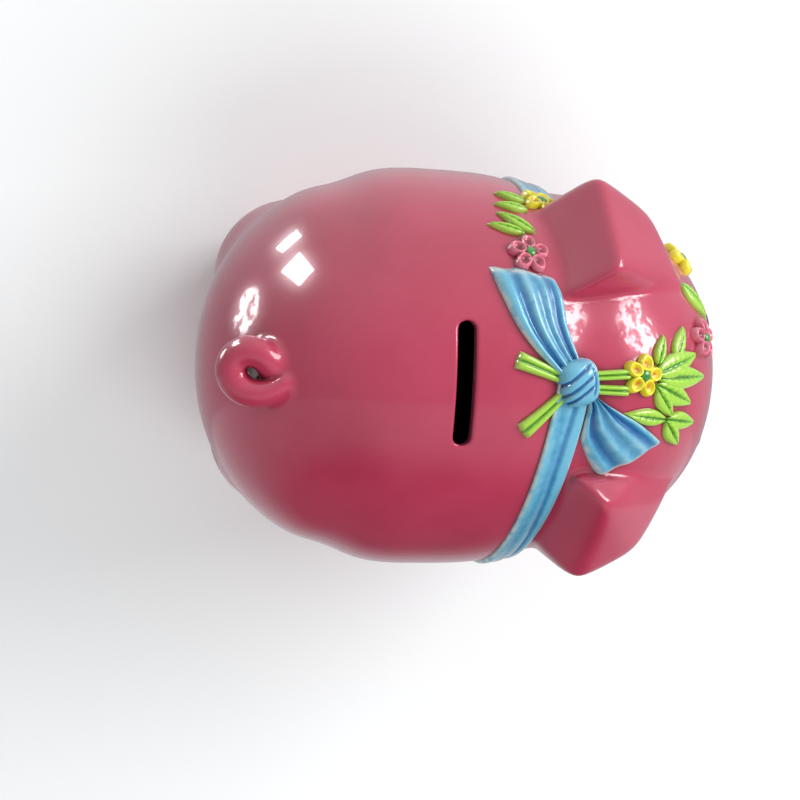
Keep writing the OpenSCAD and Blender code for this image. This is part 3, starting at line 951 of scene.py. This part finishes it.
def flower(place, turn):
    """Five cupped petals with raised rims round a low middle."""
    base = surface_x(*place)
    around = 150
    r, t = np.linspace(0.06, 1, 34), np.linspace(0, 2 * math.pi, around, endpoint=False)
    rr, tt = np.meshgrid(r, t, indexing="ij")
    swing = (tt - math.radians(turn)) / (2 * math.pi / 5)
    petal = (swing - np.round(swing)) * 2 * math.pi / 5
    c, d = np.cos(petal), np.sin(petal)
    a, b, m = (c / 0.42) ** 2 + (d / 0.35) ** 2, 2 * c * 0.58 / 0.42**2, (0.58 / 0.42) ** 2 - 1
    outline = FLOWER_R * (b + np.sqrt(b * b - 4 * a * m)) / (2 * a)
    radii = rr * outline
    ahead, aside = radii / FLOWER_R * c, radii / FLOWER_R * d
    q = np.hypot((ahead - 0.58) / 0.42, aside / 0.35)
    pocket = np.exp(-(np.hypot((ahead - 0.50) / 0.42, aside / 0.33) / 0.55) ** 2)
    ridge = np.exp(-(((q - 0.74) / 0.27) ** 2))
    notch = np.clip((q - 0.9) / 0.25, 0, 1) * (rr < 0.97)
    edge = np.sqrt(np.clip(1 - rr**11, 0, 1))
    sway = 1 + 0.07 * np.sin(2 * tt + turn) + 0.05 * np.sin(3 * tt)
    h = PETAL_H * edge * sway * (0.60 + 0.40 * ridge - 0.10 * pocket - 0.30 * notch)
    fold = np.clip(0.95 * pocket + 0.8 * notch, 0, 1)
    marks = {"fold": fold, "edge": 0.7 * ridge * (1 - notch)}
    return rings_on(base, radii, h, marks, PETAL_H * 0.6, {"fold": 1.0, "edge": 0.0}, around)


def button(place, radius, height, around=48):
    """A low round dome, for a flower's middle or an eye."""
    base = surface_x(*place)
    a = np.linspace(0.12, 1, 12)[:, None] * np.ones(around)
    h = height - 0.9 * (1 - np.sqrt(np.clip(1 - a**3, 0, 1)))
    h[-1] = 0.5
    marks = {"fold": 0 * a, "edge": 0 * a}
    return rings_on(base, a * radius, h, marks, height, {"fold": 0.0, "edge": 0.0}, around)


for name, node, parts in (
    ("stem_left", "stem_rear_left", [stem((-3, 0.8), (-20.4, 6.9), (3.4, 5.6))]),
    ("stem_right", "stem_rear_right", [stem((-3, -3), (-16.8, -15.6), (3.4, 6))]),
    (
        "stems_ahead", "stems_front",
        [stem((3, 2), (19, 3.2), (3, 3.4)), stem((3, -1.8), (18.5, -2.2), (3, 3.4))],
    ),
    ("crown_leaf_small", "leaf_crown_small", [leaf((70, 7), 73, (10.5, 4.6))]),
    ("crown_leaf_tall", "leaf_crown_tall", [leaf((77, 9), 64, (13, 5.6))]),
    (
        "crown_leaves_broad", "leaf_crown_broad",
        [leaf((69, 4), 20, (22.5, 8), 2.2), leaf((70, 3), 2, (26, 8), 2.2)],
    ),
    (
        "crown_leaves_low", "leaf_crown_low",
        [leaf((70, 1), -20, (19.5, 7.5)), leaf((70, 0), -48, (13, 6.5))],
    ),
    ("side_leaf_back", "leaf_side_back", [leaf((75, -10.5), 170, (17, 5.6))]),
    ("side_leaf_front", "leaf_side_front", [leaf((75.6, -10.5), -12, (16, 6.2))]),
    ("side_leaf_down", "leaf_side_down", [leaf((75, -11.2), -48, (13, 6.4))]),
    ("temple_leaf", "leaf_temple", [leaf((83, 40), -14, (18, 7))]),
    ("nape_leaf_long", "leaf_nape_long", [leaf((27.5, 43.4), 167, (12.5, 3.8))]),
    ("nape_leaf_wide", "leaf_nape_wide", [leaf((31, 44.6), 148, (14, 4.6))]),
    ("nape_leaf_upper", "leaf_nape_upper", [leaf((30.5, 54), 176, (11.5, 4))]),
    ("nape_leaf_outer", "leaf_nape_outer", [leaf((30.5, 58.5), 165, (10.5, 4))]),
):
    sprig(name, parts, GREEN, [node])

for colour, spot, place, turn in (
    ("yellow", "crown", (64.7, 3.6), 8),
    ("pink", "brow", (91, 20), 30),
    ("yellow", "temple", (89, 62), 0),
    ("pink", "nape", (27.5, 36.5), 20),
    ("yellow", "nape", (36.5, 61), 0),
):
    material, slot = (YELLOW, "yellow_glaze") if colour == "yellow" else (ROSE, "rose_glaze")
    nodes = [colour + "_flower_" + spot]
    sprig(colour + "_petals_" + spot, [flower(place, turn)], material, nodes)
    nodes = [colour + "_" + spot + "_centre"]
    sprig(colour + "_button_" + spot, [button(place, 1.75, 2.9)], DARK_GREEN, nodes)

# ---------------------------------------------------------------- eyes and stopper

for side, node in ((1, "eye_left"), (-1, "eye_right")):
    at = slide_to(body_field, np.array([[100.0, side * 21.0, 17.0]]), np.array([1.0, 0, 0]), 0.0)[0]
    place = (at[0], math.degrees(math.atan2(at[1], at[2])))
    sprig(node + "_bead", [button(place, 3.6, 1.0)], BLACK, [node])


def lathe(profile, around, centre):
    """A closed solid turned from a profile that starts and ends on its upright axis."""
    profile = np.array(profile, float)
    angle = np.linspace(0, 2 * math.pi, around, endpoint=False)
    r, z = profile[1:-1, 0], profile[1:-1, 1]
    x, y = centre[0] + r[:, None] * np.cos(angle), centre[1] + r[:, None] * np.sin(angle)
    ring = np.stack([x, y, z[:, None] + 0 * angle], -1)
    ends = [[centre[0], centre[1], profile[0, 1]], [centre[0], centre[1], profile[-1, 1]]]
    points = [ring.reshape(-1, 3), ends]
    count, faces = len(r), []
    for i in range(count - 1):
        for c in range(around):
            d = (c + 1) % around
            faces.append((i * around + c, i * around + d, (i + 1) * around + d, (i + 1) * around + c))
    for c in range(around):
        d = (c + 1) % around
        faces.append((count * around, d, c))
        faces.append((count * around + 1, (count - 1) * around + c, (count - 1) * around + d))
    return np.concatenate(points), faces


def stopper():
    """The rubber plug: a ribbed flange, a hollow grooved barrel and a bar to pull it by."""
    low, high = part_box("rubber_stopper")
    middle = (low[0] + high[0]) / 2 / MM - WIDEST_X
    bottom, top = low[2] / MM - AXIS_Z, high[2] / MM - AXIS_Z
    flange, wide = bottom + 2.4, (high[0] - low[0]) / 2 / MM
    plug = STOPPER_HOLE_R - 0.1
    rings = []
    for r in (9.0, 14.6):
        rings += [(r, flange), (r + 0.4, flange + 0.45), (r + 1.6, flange + 0.45), (r + 2, flange)]
    edge, lip = [], []
    for a in np.linspace(0, math.pi / 2, 6):
        edge.append((wide - 1 + math.sin(a), flange + 1 - math.cos(a)))
    for a in np.linspace(0, math.pi / 2, 4):
        lip.append((wide - 0.5 + 0.5 * math.cos(a), flange + 1.7 + 0.5 * math.sin(a)))
    profile = [(0, flange), (4, flange)] + rings + edge + lip
    profile += [(plug + 0.3, flange + 2.2), (plug, flange + 2.4), (plug, flange + 4.2)]
    profile += [(plug - 0.7, flange + 4.9), (plug - 0.7, flange + 6.6), (plug, flange + 7.3)]
    profile += [(plug, top - 1.4), (plug - 0.5, top - 0.4)]
    profile += [(plug - 1.5, top), (plug - 3, top), (plug - 3.2, flange + 4.2), (plug - 4, flange + 4)]
    profile += [(0, flange + 4)]
    points, faces = lathe(profile, 120, (middle, 0))
    half = np.array([wide / 2, 1.5, 1.3])
    s, t = np.meshgrid(np.linspace(-1, 1, 33), np.linspace(0, 2 * math.pi, 25)[:-1], indexing="ij")
    round_end = np.clip(1 - np.abs(s) ** 14, 0, 1) ** 0.5
    ring_y = np.sign(np.cos(t)) * np.abs(np.cos(t)) ** 0.45 * half[1] * (0.82 + 0.18 * s**2) * round_end
    ring_z = np.sign(np.sin(t)) * np.abs(np.sin(t)) ** 0.45 * half[2] * round_end
    bar = np.stack([middle + s * half[0], ring_y, bottom + half[2] + ring_z], -1)
    at = np.arange(bar.shape[0] * bar.shape[1]).reshape(bar.shape[:2])
    nxt = np.roll(at, -1, axis=1)
    bar_faces = np.stack([at[:-1], at[1:], nxt[1:], nxt[:-1]], -1).reshape(-1, 4)
    parts = [(points, faces, {}), (bar.reshape(-1, 3), bar_faces[:, ::-1], {})]
    points, faces, _ = joined(parts)
    new_piece("rubber_plug", points, faces, RUBBER, ["rubber_stopper"], body="stopper")


stopper()

# ---------------------------------------------------------------- stage

camera_data = bpy.data.cameras.new("camera")
camera_data.sensor_width = 36.0
camera_data.lens = 61.56
camera = bpy.data.objects.new("camera", camera_data)
bpy.context.collection.objects.link(camera)
bpy.context.scene.camera = camera


def aim_camera():
    """Looks down on the pig's back from just behind its tail, with its left side up in the view."""
    swing, lift, roll = math.radians(10.5), math.radians(4.0), math.radians(2.7)
    aside, above = 0.0019, -0.025                    # how far the body's centre is off the view's
    distance = 7 * BODY_R
    back = np.array([-math.sin(swing) * math.cos(lift), math.sin(lift), math.cos(swing) * math.cos(lift)])
    ahead = -back
    right = np.cross(ahead, (0.0, 1.0, 0.0))
    right /= np.linalg.norm(right)
    top = np.cross(right, ahead)
    ahead = ahead - aside * right + above * top
    ahead /= np.linalg.norm(ahead)
    right = np.cross(ahead, top)
    right /= np.linalg.norm(right)
    top = np.cross(right, ahead)
    turned_right = math.cos(roll) * right + math.sin(roll) * top
    turned_top = -math.sin(roll) * right + math.cos(roll) * top
    place = to_frame([back * distance])[0]
    turn = Matrix([turned_right, turned_top, -ahead]).transposed().to_4x4()
    camera.matrix_world = Matrix.Translation(Vector(place)) @ turn


aim_camera()
camera_data.clip_start, camera_data.clip_end = 0.01, 50.0

floor_mesh = bpy.data.meshes.new("floor")
floor_mesh.from_pydata([(-6, -6, 0), (6, -6, 0), (6, 6, 0), (-6, 6, 0)], [], [(0, 1, 2, 3)])
floor = bpy.data.objects.new("floor", floor_mesh)
bpy.context.collection.objects.link(floor)
floor_nodes = Nodes("floor")
floor_mesh.materials.append(floor_nodes.finish(srgb(246, 248, 248), 0.55, 0.0, 0.3, specular=0.3))
floor.visible_glossy = False


def area_light(name, place, size, power):
    """A soft light aimed at the middle of the pig, which the glaze doesn't mirror."""
    data = bpy.data.lights.new(name, "AREA")
    data.shape = "RECTANGLE"
    data.size, data.size_y = size
    data.energy = power
    obj = bpy.data.objects.new(name, data)
    bpy.context.collection.objects.link(obj)
    obj.location = place
    towards = Vector((0.0, 0.0, AXIS_Z * MM)) - Vector(place)
    obj.rotation_euler = towards.to_track_quat("-Z", "Y").to_euler()
    obj.visible_glossy = False


area_light("key", (1.5, 0.8, 1.1), (1.4, 1.0), 31.0)
area_light("fill", (0.5, -1.3, 1.7), (2.0, 1.4), 23.0)


def reflector(name, spot, way, far, size, strength, broken):
    """A glowing panel that shows only in the glaze, as a window's highlight or a broken one."""
    way = Vector(way).normalized()
    mesh = bpy.data.meshes.new(name)
    x, y = size[0] / 2, size[1] / 2
    mesh.from_pydata([(-x, -y, 0), (x, -y, 0), (x, y, 0), (-x, y, 0)], [], [(0, 1, 2, 3)])
    obj = bpy.data.objects.new(name, mesh)
    bpy.context.collection.objects.link(obj)
    obj.location = Vector(to_frame([spot])[0]) + way * far
    obj.rotation_euler = (-way).to_track_quat("Z", "Y").to_euler()
    n = Nodes(name)
    glow = n.add("ShaderNodeEmission", {"Color": (1.0, 0.99, 1.0, 1.0)})
    lit = strength
    if broken:
        rough = n.noise(broken, 5.0, rough=0.62)
        lit = n.spread(rough, 0.475, 0.505, 0.0, strength)
        faded = n.add("ShaderNodeVectorMath", {0: n.place()}, operation="LENGTH").outputs["Value"]
        lit = n.maths("MULTIPLY", lit, n.spread(faded, 0.36 * size[0], 0.55 * size[0], 1.0, 0.0))
    n.put(glow.inputs["Strength"], lit)
    clear = n.add("ShaderNodeBsdfTransparent")
    if broken:
        shaders = {0: n.spread(lit, 0.0, 0.2), 1: clear.outputs[0], 2: glow.outputs[0]}
        out = n.add("ShaderNodeMixShader", shaders).outputs[0]
    else:
        out = glow.outputs[0]
    n.tree.links.new(out, n.tree.nodes["Material Output"].inputs["Surface"])
    mesh.materials.append(n.material)
    obj.visible_camera = False
    obj.visible_diffuse = False
    obj.visible_shadow = False


reflector("window_upper", (-45, 41, 36), (-0.58, 0.72, -0.36), 0.25, (0.055, 0.036), 26.0, 0)
reflector("window_lower", (-42.5, 32, 46), (-0.70, 0.70, 0.02), 0.25, (0.06, 0.085), 26.0, 0)
reflector("forehead_glint", (57, 17, 60), (0.75, 0.41, 0.50), 0.3, (0.22, 0.16), 14.0, 24.0)
reflector("rump_glint", (-58, 18, 38), (-0.90, 0.30, -0.30), 0.3, (0.12, 0.12), 16.0, 28.0)

world = bpy.data.worlds.new("studio")
bpy.context.scene.world = world
world.use_nodes = True
sky = world.node_tree
back = sky.nodes["Background"]
ray = sky.nodes.new("ShaderNodeTexCoord")
parts = sky.nodes.new("ShaderNodeSeparateXYZ")
level = sky.nodes.new("ShaderNodeValToRGB")
sky.links.new(ray.outputs["Generated"], parts.inputs[0])
shift = sky.nodes.new("ShaderNodeMapRange")
shift.inputs["From Min"].default_value, shift.inputs["From Max"].default_value = -1.0, 1.0
sky.links.new(parts.outputs["Y"], shift.inputs["Value"])
sky.links.new(shift.outputs["Result"], level.inputs["Fac"])
ramp = level.color_ramp
greys = ((0.0, 0.05), (0.08, 0.06), (0.2, 0.5), (0.35, 0.62), (0.366, 0.40), (0.6, 0.46), (1.0, 0.72))
for position, grey in greys:
    element = ramp.elements.new(position)
    element.color = (grey * 0.97, grey, grey * 1.02, 1.0)
ramp.elements.remove(ramp.elements[0])
ramp.elements.remove(ramp.elements[-1])
sky.links.new(level.outputs["Color"], back.inputs["Color"])
back.inputs["Strength"].default_value = 0.9
bpy.context.scene.view_settings.view_transform = "Standard"
